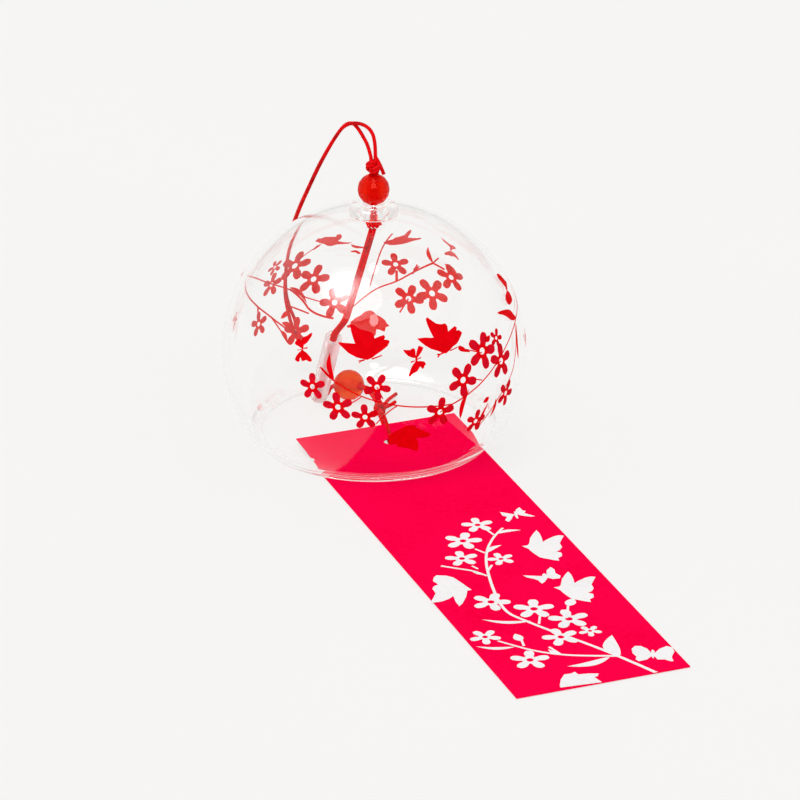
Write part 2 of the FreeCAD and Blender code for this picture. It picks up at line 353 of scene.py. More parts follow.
PALE_STRAY = (0.86, 0.85, 0.83)
BELL_LOOK = {
    "colour": (0.998, 1.0, 0.998),
    "roughness": 0.0,
    "ior": WALL_IOR,
    "let_through": (0.992, 0.994, 0.994),
    "stray": PALE_STRAY,
    "crown_stray": (0.72, 0.22, 0.18),
    "shine": 0.2,
    "shine_tint": (1, 1, 1),
}
TUBE_LOOK = {
    "colour": (0.99, 0.975, 0.975),
    "roughness": 0.03,
    "ior": 1.4,
    "let_through": (0.98, 0.97, 0.97),
    "stray": PALE_STRAY,
    "cloud": 0.34,
    "cloud_colour": (1.0, 0.92, 0.92),
    "shine": 0.2,
    "shine_tint": (1, 1, 1),
}
BEAD_LOOK = {
    "colour": (1.0, 0.03, 0.004),
    "roughness": 0.02,
    "ior": 1.45,
    "let_through": (0.9, 0.16, 0.06),
    "stray": (0.55, 0.004, 0.002),
    "cloud": 0.42,
    "cloud_colour": (1.0, 0.006, 0.001),
    "shine": 0.9,
    "shine_tint": (1.0, 0.16, 0.1),
    # Painted shade for the rim seen at a slant
    "painted_rim_shade": (0.5, 0.0, 0.0),
}
ORANGE_BEAD_LOOK = {
    **BEAD_LOOK,
    "colour": (1.0, 0.16, 0.01),
    "cloud_colour": (1.0, 0.09, 0.004),
    # Painted shade for the rim seen at a slant
    "painted_rim_shade": (0.6, 0.01, 0.0),
}
CORD_LOOK = {
    "fibres": (2400.0, 3.0),
    "patches": (260.0, 2.0),
    "span": (0.7, 1.25),
    "relief": (0.5, 0.00008),
    "roughness": 0.55,
    "shine": 0.05,
}
PAPER_LOOK = {
    "fibres": (900.0, 6.0),
    "patches": (40.0, 2.0),
    "span": (0.7, 1.3),
    "relief": (0.15, 0.00003),
    "roughness": 0.7,
    "shine": 0.0,
}
WHITE_LOOK = {**PAPER_LOOK, "roughness": 0.55}
CORD_SHADES = ((0.34, 0.0, 0.002), (0.82, 0.002, 0.004))
FRONT_SHADES = ((0.86, 0.0, 0.006), (0.96, 0.001, 0.012))
PETAL_SHADES = ((0.82, 0.004, 0.03), (0.92, 0.01, 0.05))
# Inner face of the print, seen through the glass: the ink's red, painted brighter and a little paler than
# the outer face, standing in for the light the glass in front adds and the inward face lacks
BACK_INK_SHADES_WITH_PAINTED_LIGHT = ((1.0, 0.02, 0.015), (1.0, 0.045, 0.035))
PAPER_SHADES = ((0.94, 0.0, 0.05), (1.0, 0.001, 0.064))
WHITE_SHADES = ((0.86, 0.84, 0.83), (0.92, 0.90, 0.89))
# Share of each ink that acts as a coloured filter, and share of the rest that lets light through
FRONT_CLEARNESS = (0.25, 0.35)
PETAL_CLEARNESS = (0.3, 0.35)
BACK_CLEARNESS = (0.4, 0.15)

BELL_GLASS = glass_material("bell_glass", BELL_LOOK)
TUBE_GLASS = glass_material("tube_glass", TUBE_LOOK)
BEAD_RED = glass_material("bead_red", BEAD_LOOK)
BEAD_ORANGE = glass_material("bead_orange", ORANGE_BEAD_LOOK)
CORD_RED = fibre_material("cord_red", *CORD_SHADES, CORD_LOOK)
FRONT_INK = ink_material("front_ink", *FRONT_SHADES, *FRONT_CLEARNESS)
PETAL_INK = ink_material("petal_ink", *PETAL_SHADES, *PETAL_CLEARNESS)
BACK_INK = ink_material("back_ink", *BACK_INK_SHADES_WITH_PAINTED_LIGHT, *BACK_CLEARNESS)
PAPER_RED = fibre_material("paper_red", *PAPER_SHADES, PAPER_LOOK)
PAPER_WHITE = fibre_material("paper_white", *WHITE_SHADES, WHITE_LOOK)

# Cord routes, points given one by one
LOOP_ROUTE = [
    (0.45, -0.15, 78.3), (0.5, -0.2, 82.6), (-0.35, 0.67, 86.3), (-2.6, 3.4, 87.5), (-5.4, 6.8, 86.2),
    (-7.2, 10.0, 81.2), (-9.3, 14.7, 73.0), (-10.9, 18.6, 65.4), (-11.9, 23.9, 57.2), (-11.2, 30.9, 49.5),
    (-11.4, 36.6, 41.3), (-10.9, 40.4, 31.8), (-10.7, 41.1, 25.3), (-9.7, 40.2, 19.1), (-8.7, 39.2, 15.3),
    (-6.92, 40.6, 11.4), (-5.35, 44.9, 11.6), (-5.9, 46.75, 15.7), (-7.8, 45.2, 19.6), (-9.7, 43.3, 25.1),
    (-10.4, 41.6, 31.5), (-10.9, 37.9, 40.9), (-10.8, 32.2, 49.2), (-11.5, 25.2, 56.9), (-10.5, 19.8, 65.1),
    (-8.9, 15.9, 72.7), (-6.8, 11.1, 80.8), (-4.85, 8.2, 85.6), (-3.45, 6.3, 86.6), (-2.6, 4.5, 85.6),
    (-1.75, 3.0, 83.7), (-0.85, 1.5, 81.4), (-0.45, 0.5, 78.3),
]
NEAR_STRAND = [
    (0.25, -0.05, 58.5), (-5.1, 4.2, 34.5), (-5.85, 4.72, 31.5), (-7.97, 6.58, 27.9), (-7.80, 8.33, 25.35),
    (-6.36, 23.0, 4.15), (-6.18, 24.4, 2.13), (-5.95, 25.35, 0.85), (-4.7, 25.95, 0.7), (-3.3, 26.65, 0.9),
    (-1.8, 27.52, 3.1), (4.15, 17.92, 5.35), (5.3, 15.9, 3.9), (5.7, 13.35, 2.7), (5.62, 12.6, 2.3),
]
FAR_STRAND = [
    (-0.65, 0.35, 58.5), (-6.0, 4.55, 34.5), (-6.75, 5.07, 31.5), (-8.9, 6.9, 27.9), (-8.73, 8.65, 25.35),
    (-7.32, 23.2, 4.15), (-7.23, 24.5, 2.13), (-7.05, 25.75, 0.85), (-5.8, 26.95, 0.7), (-3.1, 28.0, 0.9),
    (-0.9, 28.08, 3.1), (5.05, 18.48, 5.35), (6.4, 16.2, 3.95), (6.78, 13.05, 2.67), (6.75, 12.3, 2.3),
]
TIE_ROUTE = [
    (5.0, 8.7, 2.5), (4.2, 3.2, 2.9), (2.9, -2.2, 2.65), (1.9, -6.2, 2.62), (1.15, -8.6, 2.68),
    (0.87, -9.88, 2.7), (0.8, -10.45, 1.7), (0.87, -9.88, 0.7), (1.2, -8.4, 0.64), (1.85, -5.8, 0.66),
    (2.6, -1.8, 0.66), (3.7, 2.6, 0.7), (4.8, 8.7, 1.2),
]
LONG_TAIL = [(5.95, 12.6, 1.0), (7.7, 13.7, 0.75), (9.2, 15.7, 0.75), (11.1, 18.1, 0.7), (14.2, 20.6, 0.65)]
SHORT_TAIL = [(7.1, 12.2, 1.1), (9.6, 13.6, 0.75), (12.0, 15.7, 0.65)]

CORD_RESOLUTION = 14
STEM_RESOLUTION = 8
CURVE_ORDER = 3
CORD_STEP = 0.3
FEWEST_STEPS = 2
# The twist of one strand: three plies that wind once in its pitch, with a shallow groove between them
TWIST_PITCH = 2.4
PLIES = 3
GROOVE = 0.10
STRAND_SIDES = 18


def smooth_path(points, resolution):
    """Points along the NURBS line through a cord's route, in metres."""
    curve = bpy.data.curves.new("route", "CURVE")
    curve.dimensions = "3D"
    curve.resolution_u = resolution
    spline = curve.splines.new("NURBS")
    spline.points.add(len(points) - 1)
    for target, place in zip(spline.points, points):
        target.co = (*place, 1)
    spline.order_u = CURVE_ORDER
    spline.use_endpoint_u = True
    holder = bpy.data.objects.new("route", curve)
    bpy.context.scene.collection.objects.link(holder)
    mesh = bpy.data.meshes.new_from_object(holder)
    line = [vertex.co.copy() for vertex in mesh.vertices]
    bpy.data.objects.remove(holder)
    bpy.data.meshes.remove(mesh)
    bpy.data.curves.remove(curve)
    return line


def even(line, step):
    """The same line with points at an even step."""
    lengths = [0.0]
    for first, second in zip(line, line[1:]):
        lengths.append(lengths[-1] + (second - first).length)
    count = max(FEWEST_STEPS, round(lengths[-1] / step))
    last_span = len(lengths[1:]) - 1
    out = []
    index = 0
    for k in range(count + 1):
        goal = lengths[-1] * k / count
        while index < last_span and lengths[index + 1] < goal:
            index += 1
        span = lengths[index + 1] - lengths[index]
        share = (goal - lengths[index]) / span if span else 0
        out.append(line[index].lerp(line[index + 1], min(max(share, 0), 1)))
    return out


def direction_along(line, index):
    return line[min(index + 1, len(line) - 1)] - line[max(index - 1, 0)]


def strand_parts(line, diameter):
    """Vertices and faces of a twisted strand that follows a line."""
    verts = []
    tangent = (line[1] - line[0]).normalized()
    normal = tangent.orthogonal().normalized()
    travelled = 0.0
    for index, place in enumerate(line):
        new_tangent = direction_along(line, index).normalized()
        normal = (tangent.rotation_difference(new_tangent) @ normal).normalized()
        tangent = new_tangent
        binormal = tangent.cross(normal)
        travelled += (place - line[index - 1]).length if index else 0
        twist = math.tau * travelled / (TWIST_PITCH * MM)
        for side in range(STRAND_SIDES):
            angle = math.tau * side / STRAND_SIDES
            fold = abs(math.cos(PLIES * (angle - twist) / 2))
            reach = diameter / 2 * (1 - GROOVE * (1 - fold))
            verts.append(place + (normal * math.cos(angle) + binormal * math.sin(angle)) * reach)
    faces = []
    for base in range(0, (len(line) - 1) * STRAND_SIDES, STRAND_SIDES):
        above = base + STRAND_SIDES
        for side in range(STRAND_SIDES):
            after = (side + 1) % STRAND_SIDES
            faces.append((base + side, base + after, above + after, above + side))
    faces.append(tuple(reversed(range(STRAND_SIDES))))
    faces.append(tuple(range(len(verts) - STRAND_SIDES, len(verts))))
    return verts, faces


def mesh_object(name, verts, faces, materials, slots=None, smooth=False):
    mesh = bpy.data.meshes.new(name)
    mesh.from_pydata([tuple(vert) for vert in verts], [], faces)
    for one in materials:
        mesh.materials.append(one)
    if slots:
        mesh.polygons.foreach_set("material_index", slots)
    if smooth:
        mesh.polygons.foreach_set("use_smooth", [True] * len(mesh.polygons))
    mesh.update()
    made = bpy.data.objects.new(name, mesh)
    bpy.context.scene.collection.objects.link(made)
    return made


def strands_object(name, lines, diameter=STRAND):
    verts = []
    faces = []
    for line in lines:
        more, quads = strand_parts(line, diameter * MM)
        base = len(verts)
        verts += more
        faces += [tuple(base + corner for corner in face) for face in quads]
    return mesh_object(name, verts, faces, [CORD_RED], smooth=True)


def cord_piece(name, points):
    line = even(smooth_path(route(points), CORD_RESOLUTION), CORD_STEP * MM)
    return strands_object(name, [line]), line


def rider(piece, body, slot, *nodes):
    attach(piece, body)
    if nodes:
        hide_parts(*nodes)
    return piece


def winding_frame(axis):
    """Unit axis and two directions across it."""
    axis = Vector(axis).normalized()
    x = axis.orthogonal().normalized()
    return x, axis.cross(x), axis


# Knots. The top knot is an overhand knot drawn tight, the other two are wrapped.
TOP_KNOT = at(0, 0, 76.1)
TOP_KNOT_AXIS = (0.25, 0.05, 1)
TOP_KNOT_SHIFTS = (-0.42, 0.42)
OVERHAND = {"ring": 1.05, "tube": 0.55, "rise": 0.95, "start": 0.6, "turns": 2, "weaves": 3, "points": 90}
TOP_KNOT_ENDS = [
    [(0.42, -0.2, 75.5), (0.45, -0.18, 77.0), (0.45, -0.15, 78.35)],
    [(-0.5, 0.3, 75.5), (-0.54, 0.45, 77.0), (-0.55, 0.5, 78.35)],
]
SLANTING_STRAND = [(0.55, -0.25, 78.7), (1.3, -0.6, 77.2), (1.95, -0.8, 75.6), (2.5, -0.85, 74.05)]
SLANTING_STEP = 0.2
NECK_FOOT = 60.0
NECK_STEPS = 50
STOP_KNOT = at(0, 0, 59.64)
STOP_WRAP = {"ring": 0.42, "length": 3.3, "turns": 3.3, "wobble": 0.06, "start": 0.4}
TIE_KNOT = at(5.6, 10.6, 1.9)
TIE_TURN = math.radians(70.6)
TIE_WRAPS = (
    {"ring": 1.02, "length": 3.2, "turns": 3.4, "wobble": 0.16, "start": 0.9},
    {"ring": 0.45, "length": 3.8, "turns": 1.6, "wobble": 0.2, "start": 2.1},
)
TIE_STRAND = 1.12
POINTS_PER_WRAP = 40
# How the radius of a wrap wanders round the knot
WANDER_RATE = 0.37
WANDER_START = 3


def overhand_line(centre, axis, shape):
    """Line of an overhand knot drawn tight: it winds twice round its axis and weaves in and out."""
    x, y, axis = winding_frame(axis)
    out = []
    for k in range(shape["points"] + 1):
        t = shape["start"] + math.tau * k / shape["points"]
        weave = shape["weaves"] * t
        turn = shape["turns"] * t
        reach = shape["ring"] + shape["tube"] * math.cos(weave)
        height = shape["rise"] * math.sin(weave)
        out.append(centre + (x * math.cos(turn) + y * math.sin(turn)) * reach * MM + axis * height * MM)
    return out


def wrap_line(centre, axis, shape):
    """Line that winds round an axis, a little unevenly, from one end of a wrapped knot to the other."""
    x, y, axis = winding_frame(axis)
    out = []
    total = round(shape["turns"] * POINTS_PER_WRAP)
    for k in range(total + 1):
        share = k / total
        angle = math.tau * shape["turns"] * share + shape["start"]
        wander = math.sin(angle * WANDER_RATE + shape["start"] * WANDER_START)
        reach = shape["ring"] * (1 + shape["wobble"] * wander)
        height = (share - 1 / 2) * shape["length"] + shape["wobble"] * math.sin(angle + shape["start"])
        out.append(centre + (x * math.cos(angle) + y * math.sin(angle)) * reach * MM + axis * height * MM)
    return out


def make_top_knot():
    knot = overhand_line(TOP_KNOT, TOP_KNOT_AXIS, OVERHAND)
    lines = [[point + UP * shift * MM for point in knot] for shift in TOP_KNOT_SHIFTS]
    lines += [route(points) for points in TOP_KNOT_ENDS]
    lines.append(even(smooth_path(route(SLANTING_STRAND), CORD_RESOLUTION), SLANTING_STEP * MM))
    return rider(strands_object("top_knot_wraps", lines), "hanger", "cord", "top_knot")


def make_neck():
    """Two strands side by side through the crown and the top bead."""
    middle = [at(0, 0, NECK_FOOT + CORD_STEP * k) for k in range(NECK_STEPS)]
    lines = [[point + RIGHT * offset * MM for point in middle] for offset in (-HALF_PAIR, HALF_PAIR)]
    return rider(strands_object("neck_strands", lines), "hanger", "cord", "neck_cord")


def make_stop_knot():
    lines = [wrap_line(STOP_KNOT, RIGHT, STOP_WRAP)]
    return rider(strands_object("stop_knot_wraps", lines), "hanger", "cord", "stop_knot")


def make_tie_knot():
    axis = (math.cos(TIE_TURN), math.sin(TIE_TURN), 0)
    lines = [wrap_line(TIE_KNOT, axis, wrap) for wrap in TIE_WRAPS]
    return rider(strands_object("tie_knot_wraps", lines, TIE_STRAND), "tie", "cord", "tie_knot")


top_knot = make_top_knot()
neck = make_neck()
stop_knot = make_stop_knot()
tie_knot = make_tie_knot()
for name, points in (("long_tail", LONG_TAIL), ("short_tail", SHORT_TAIL)):
    tail, _ = cord_piece(name + "_end", points)
    rider(tail, "tie", "cord", name)

loop, loop_line = cord_piece("loop_cord", LOOP_ROUTE)
rider(loop, "loop", "cord", "hanging_loop")

# The two strands follow the clapper down to the tube's foot, and the bell from the lower bead on
for name, points, nodes in (
    ("near_strand", NEAR_STRAND, ("clapper_cord", "near_link")),
    ("far_strand", FAR_STRAND, ("clapper_cord", "far_link")),
):
    piece, line = cord_piece(name, points)
    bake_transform(piece)
    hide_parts(*nodes)

tie, tie_line = cord_piece("strip_tie", TIE_ROUTE)
rider(tie, "tie", "cord", "tie_loop")

# Beads
DIMENSIONS = 3
BEAD_CORNER_RADIUS = 4.22
BEAD_HOLE = 1.25
BEAD_SIDES = 16
BEAD_LATITUDES = (-68, -45.5, -22.5, 0, 22.5, 45.5, 68)
HOLE_LIP_SHARE = 0.985
EDGE_WIDTH = 0.08
EDGE_SEGMENTS = 2
EDGE_ANGLE = math.radians(8)
TOP_BEAD = at(0, 0, 69.88)
TOP_BEAD_TURN = math.radians(13)
LOWER_BEAD = at(1.5, 23.2, 4.25)
LOWER_BEAD_AXIS = (0.5168, -0.8334, 0.1959)


def bead_rings():
    """Reach and height of each ring of corners, from one lip of the bore over the facets to the other."""
    hole_height = math.sqrt(BEAD_CORNER_RADIUS ** 2 - BEAD_HOLE ** 2) * HOLE_LIP_SHARE
    rings = [(BEAD_HOLE, -hole_height)]
    for latitude in BEAD_LATITUDES:
        angle = math.radians(latitude)
        rings.append((BEAD_CORNER_RADIUS * math.cos(angle), BEAD_CORNER_RADIUS * math.sin(angle)))
    return rings + [(BEAD_HOLE, hole_height)]


def faceted_bead(name, centre, axis, finish, turn=0.0):
    """Round bead ground with rows of flat facets, drilled through along its axis."""
    x, _, axis = winding_frame(axis)
    x.rotate(Matrix.Rotation(turn, DIMENSIONS, axis))
    y = axis.cross(x)
    verts = []
    rows = []
    for reach, height in bead_rings():
        rows.append(range(len(verts), len(verts) + BEAD_SIDES))
        for k in range(BEAD_SIDES):
            angle = math.tau * k / BEAD_SIDES
            out = x * math.cos(angle) + y * math.sin(angle)
            verts.append(centre + out * reach * MM + axis * height * MM)
    faces = []
    for lower, upper in zip(rows, rows[1:] + rows[:1]):
        for k in range(BEAD_SIDES):
            after = (k + 1) % BEAD_SIDES
            faces.append((lower[k], lower[after], upper[after], upper[k]))
    piece = mesh_object(name, verts, faces, [finish])
    bevel = piece.modifiers.new("edges", "BEVEL")
    bevel.width = EDGE_WIDTH * MM
    bevel.segments = EDGE_SEGMENTS
    bevel.limit_method = "ANGLE"
    bevel.angle_limit = EDGE_ANGLE
    return piece


top_bead = faceted_bead("top_bead_cut", TOP_BEAD, UP, BEAD_RED, TOP_BEAD_TURN)
rider(top_bead, "bead_above", "bead", "top_bead")
lower_bead = faceted_bead("lower_bead_cut", LOWER_BEAD, LOWER_BEAD_AXIS, BEAD_ORANGE)
rider(lower_bead, "bead_below", "bead", "lower_bead")

# Solids shown as they are: node, finish, and whether its curves look smooth
CARRIED = (
    ("glass_bell", BELL_GLASS, True),
    ("clapper_tube", TUBE_GLASS, True),
    ("paper_strip", PAPER_RED, False),
)
for node, finish, smooth in CARRIED:
    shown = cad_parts[node].data
    shown.materials.clear()
    shown.materials.append(finish)
    if smooth:
        shown.polygons.foreach_set("use_smooth", [True] * len(shown.polygons))

# Printed pattern: blossoms, leaves, buds and butterflies. Each is an outline in its own plane, in
# millimetres, with its layer: 0 for the print, 1 for the paler inside of the petals.
PETALS = 5
EYE_SHARE = 0.18
NOTCH_SHARE = 0.35
PETAL_MIDDLE_SHARE = 0.64
PETAL_WIDTH_SHARE = 0.5
PETAL_OPEN_TURN = math.radians(128)
PETAL_STEPS = 12
DENT_SHARE = 0.04
DENT_SHARPNESS = 24
FACE_LENGTH_SHARE = 0.8
FACE_WIDTH_SHARE = 0.39
SECTOR = math.radians(36)
LEAF_STEPS = 9
LEAF_BEND = 0.1
LEAF_BELLY = 0.85
LEAF_ROUNDNESS = 0.9
BUD_WIDTH_SHARE = 0.62
SMALL_WINGS = [
    [(0.0, 0.05), (0.10, 0.28), (0.28, 0.55), (0.55, 0.86), (0.80, 1.00), (0.84, 0.80), (0.74, 0.52),
     (0.60, 0.28), (0.62, 0.06), (0.44, -0.02), (0.20, -0.03)],
    [(0.0, -0.02), (0.22, -0.08), (0.46, -0.16), (0.60, -0.34), (0.56, -0.56), (0.38, -0.62), (0.22, -0.46),
     (0.08, -0.24)],
]
SMALL_BODY = [(0.05, 0.30), (0.09, 0.0), (0.05, -0.42), (-0.05, -0.42), (-0.09, 0.0), (-0.05, 0.30)]


def polar(reach, angle):
    return reach * math.cos(angle), reach * math.sin(angle)


def petal(length):
    """One fifth of a blossom along +X: an oval petal that joins its neighbours round the clear eye."""
    middle = PETAL_MIDDLE_SHARE * length
    half_width = length * PETAL_WIDTH_SHARE / 2
    out = [polar(EYE_SHARE * length, turn) for turn in (SECTOR, 0, -SECTOR)]
    out.append(polar(NOTCH_SHARE * length, -SECTOR))
    for k in range(PETAL_STEPS + 1):
        angle = PETAL_OPEN_TURN * (2 * k / PETAL_STEPS - 1)
        dent = DENT_SHARE * length * max(math.cos(angle), 0) ** DENT_SHARPNESS
        out.append((middle + (length - middle) * math.cos(angle) - dent, half_width * math.sin(angle)))
    out.append(polar(NOTCH_SHARE * length, SECTOR))
    return out


def petal_face(length):
    """Paler inside of a petal, which leaves a darker edge all round."""
    middle = PETAL_MIDDLE_SHARE * length
    reach = (length - middle) * FACE_LENGTH_SHARE
    half_width = length * PETAL_WIDTH_SHARE * FACE_WIDTH_SHARE
    turns = [math.tau * k / PETAL_STEPS for k in range(PETAL_STEPS)]
    return [(middle + reach * math.cos(turn), half_width * math.sin(turn)) for turn in turns]


def leaf(length, width, bend):
    """Pointed leaf along +X from its stalk."""
    upper = []
    lower = []
    for k in range(LEAF_STEPS + 1):
        t = k / LEAF_STEPS
        half = width / 2 * math.sin(math.pi * t ** LEAF_BELLY) ** LEAF_ROUNDNESS
        middle = bend * length * math.sin(math.pi * t)
        upper.append((length * t, middle + half))
        lower.append((length * t, middle - half))
    return upper + list(reversed(lower))[1:-1]


def turned(outline, angle, size=1.0):
    c = math.cos(angle)
    s = math.sin(angle)
    return [(size * (x * c - y * s), size * (x * s + y * c)) for x, y in outline]


def blossom(size, angle):
    """Five petals round a clear eye, each with a darker edge."""
    out = []
    for k in range(PETALS):
        turn = math.radians(angle) + math.tau * k / PETALS
        out.append((turned(petal(size), turn), 0))
        out.append((turned(petal_face(size), turn), 1))
    return out


def small_butterfly(size, angle):
    mirrored = [[(-x, y) for x, y in reversed(wing)] for wing in SMALL_WINGS]
    return [(turned(shape, math.radians(angle), size), 0) for shape in [*SMALL_WINGS, *mirrored, SMALL_BODY]]


def single_leaf(length, angle, width):
    return [(turned(leaf(length, length * width, LEAF_BEND), math.radians(angle)), 0)]


def bud(length, angle):
    return [(turned(leaf(length, length * BUD_WIDTH_SHARE, 0), math.radians(angle)), 0)]


CUT_ROUNDS = 5
LIFT_LEVELS = 40
LIFT_STEP = 0.0006


class Print:
    """One printed piece: shapes gathered flat, cut fine enough to bend, then laid on the surface."""

    def __init__(self, layers, step):
        self.layers = layers
        self.step = step
        self.verts = []
        self.faces = []
        self.slots = []
        self.shapes = 0

    def lift(self):
        """A height of its own for each shape, because shapes that cross must not lie in one surface."""
        self.shapes += 1
        return self.shapes % LIFT_LEVELS * LIFT_STEP

    def add(self, outline, placed, layer):
        """placed(u, v, height) gives the point of the surface for a point of the shape's plane."""
        shape = bmesh.new()
        shape.faces.new([shape.verts.new((u, v, 0)) for u, v in outline])
        shape.normal_update()
        bmesh.ops.triangulate(shape, faces=shape.faces[:])
        for _ in range(CUT_ROUNDS):
            long_edges = [edge for edge in shape.edges if edge.calc_length() > self.step]
            if not long_edges:
                break
            bmesh.ops.subdivide_edges(shape, edges=long_edges, cuts=1, use_grid_fill=False)
            bmesh.ops.triangulate(shape, faces=shape.faces[:])
        shape.verts.index_update()
        lift = self.lift()
        for height, slot, flipped in self.layers[layer]:
            base = len(self.verts)
            self.verts += [placed(vertex.co.x, vertex.co.y, height + lift) for vertex in shape.verts]
            for face in shape.faces:
                self.add_face([base + vertex.index for vertex in face.verts], slot, flipped)
        shape.free()

    def add_face(self, corners, slot, flipped):
        self.faces.append(tuple(reversed(corners)) if flipped else tuple(corners))
        self.slots.append(slot)


def globe_place(px, py, front):
    """Lays a flat shape on the globe round a pixel, upright as the camera sees it."""
    centre = on_globe(px, py, front)
    out = (centre - GLOBE).normalized()
    across = (SIDE - out * SIDE.dot(out)).normalized()
    upward = TOP - out * TOP.dot(out)
    upward = (upward - across * upward.dot(across)).normalized()

    def place(u, v, height):
        return off_globe(centre + across * u * MM + upward * v * MM, height)

    return place, across.cross(upward).dot(out) < 0


def off_strip(point, height):
    return Vector((point.x, point.y, (STRIP_TOP + height) * MM))


def strip_place(px, py):
    centre = on_strip(px, py)
    away = UP.cross(RIGHT)

    def place(u, v, height):
        return off_strip(centre + RIGHT * u * MM + away * v * MM, height)

    return place, False


# Height of each film over the glass or the paper, its material and whether it faces inwards
GLASS_LAYERS = {
    0: [(0.05, 0, False), (0.03, 2, True)],
    1: [(0.07, 1, False)],
}
STRIP_LAYERS = {0: [(0.02, 0, False)], 1: []}
GLASS_CUT = 0.9
STRIP_CUT = 3.0
STEM_STEP = 0.6
# A stem drawn through two pixels only is straight
STRAIGHT_ENDS = 2
# Points across a stem, one on each edge
ACROSS = 2
glass_print = Print(GLASS_LAYERS, GLASS_CUT)
strip_print = Print(STRIP_LAYERS, STRIP_CUT)


def stamp(layer, surface, px, py, shapes):
    if surface == "strip":
        place, flip = strip_place(px, py)
    else:
        place, flip = globe_place(px, py, surface == "front")
    for outline, level in shapes:
        if layer.layers[level]:
            layer.add(outline[::-1] if flip else outline, place, level)


def stem(layer, surface, pixels, start_width, end_width):
    """Stem drawn through pixels, tapering from its root to its tip."""
    knots = [seen_at(surface, *pixel) for pixel in pixels]
    if len(knots) > STRAIGHT_ENDS:
        knots = smooth_path(knots, STEM_RESOLUTION)
    line = even(knots, STEM_STEP * MM)
    edges = []
    for index, place in enumerate(line):
        out = UP if surface == "strip" else (place - GLOBE).normalized()
        sideways = out.cross(direction_along(line, index)).normalized()
        share = index / (len(line) - 1)
        half = (start_width * (1 - share) + end_width * share) / 2 * MM
        edges += [place + sideways * half, place - sideways * half]
    lift = layer.lift()
    for height, slot, flipped in layer.layers[0]:
        base = len(layer.verts)
        for point in edges:
            if surface == "strip":
                point.y = max(point.y, (STRIP_END + AXIS_Y) * MM)
                layer.verts.append(off_strip(point, height + lift))
            else:
                layer.verts.append(off_globe(point, height + lift))
        for first in range(base, len(layer.verts) - ACROSS, ACROSS):
            beyond = first + ACROSS
            layer.add_face((first, first + 1, beyond + 1, beyond), slot, flipped)


def facing_up(flat):
    """The outline in the order that makes its face look towards the viewer."""
    area = sum(a[0] * b[1] - b[0] * a[1] for a, b in zip(flat, flat[1:] + flat[:1]))
    return flat if area > 0 else flat[::-1]


# About how many pixels one millimetre of the globe covers in the picture
PIXELS_PER_MM = 3.8


def trace_on_globe(pixels, front):
    """Lays an outline given in pixels on the near or the far half of the globe."""
    flat = facing_up([(px / PIXELS_PER_MM, -py / PIXELS_PER_MM) for px, py in pixels])

    def placed(u, v, height):
        return off_globe(on_globe(u * PIXELS_PER_MM, -v * PIXELS_PER_MM, front), height)

    glass_print.add(flat if front else flat[::-1], placed, 0)


def trace_on_strip(pixels, shift=(0, 0)):
    """Lays an outline given in pixels on the strip, kept inside the strip's own edges."""
    corners = [on_strip(px + shift[0], py + shift[1]) / MM for px, py in pixels]
    flat = [(min(corner.x, STRIP_RIGHT), max(corner.y, STRIP_END + AXIS_Y)) for corner in corners]

    def placed(u, v, height):
        return off_strip(Vector((u, v, 0)) * MM, height)

    strip_print.add(facing_up(flat), placed, 0)


# Front of the globe: pixel of each blossom's centre, its size and its turn
FRONT_GROWTH = 1.2
FRONT_BLOSSOMS = [
    (312.5, 386.6, 3.1, 20), (338, 407, 3.5, 100), (377, 387, 3.1, 60), (365, 417, 3.1, 95),
    (440, 412, 3.5, 78), (463, 380, 3.9, 60), (482, 351, 4.3, 80), (496, 338, 2.2, 85),
    (501, 361, 4.0, 95), (475.5, 421, 2.9, 70), (505.5, 393, 3.2, 50),
]
# Stems: pixels, width at the root and width at the tip. Leaves: pixel, length, turn and share of width.
FRONT_STEMS = [
    ([(320, 367), (333, 381), (361, 397), (397, 406), (430, 407), (452.5, 404)], 0.32, 0.42),
    (
        [(452.5, 404), (473, 391), (491.5, 370.5), (505, 347.6), (514.5, 322), (516, 290), (513, 268)],
        0.42, 0.28,
    ),
    ([(397, 406), (386, 412), (376, 424)], 0.35, 0.3),
    ([(361, 397), (350, 405), (340, 407)], 0.3, 0.3),
    ([(514.5, 322), (514.5, 364), (508, 382), (496, 400), (475.5, 430)], 0.35, 0.3),
    ([(482, 380), (473, 379)], 0.3, 0.3),
    ([(464, 349), (482, 353)], 0.3, 0.3),
    ([(377, 387), (383, 399)], 0.3, 0.3),
    ([(440, 412), (453, 404)], 0.3, 0.3),
    ([(501, 361), (494, 366)], 0.3, 0.3),
]
FRONT_LEAVES = [
    (334, 380, 7.2, 100, 0.2), (460, 419, 8.4, 66, 0.17), (496, 398, 5.4, 245, 0.2),
    (478, 428, 7.5, 55, 0.14),
]
# Buds: pixel, length and turn
FRONT_BUDS = [(489, 397, 2.4, 200), (486, 342, 2.4, 50)]
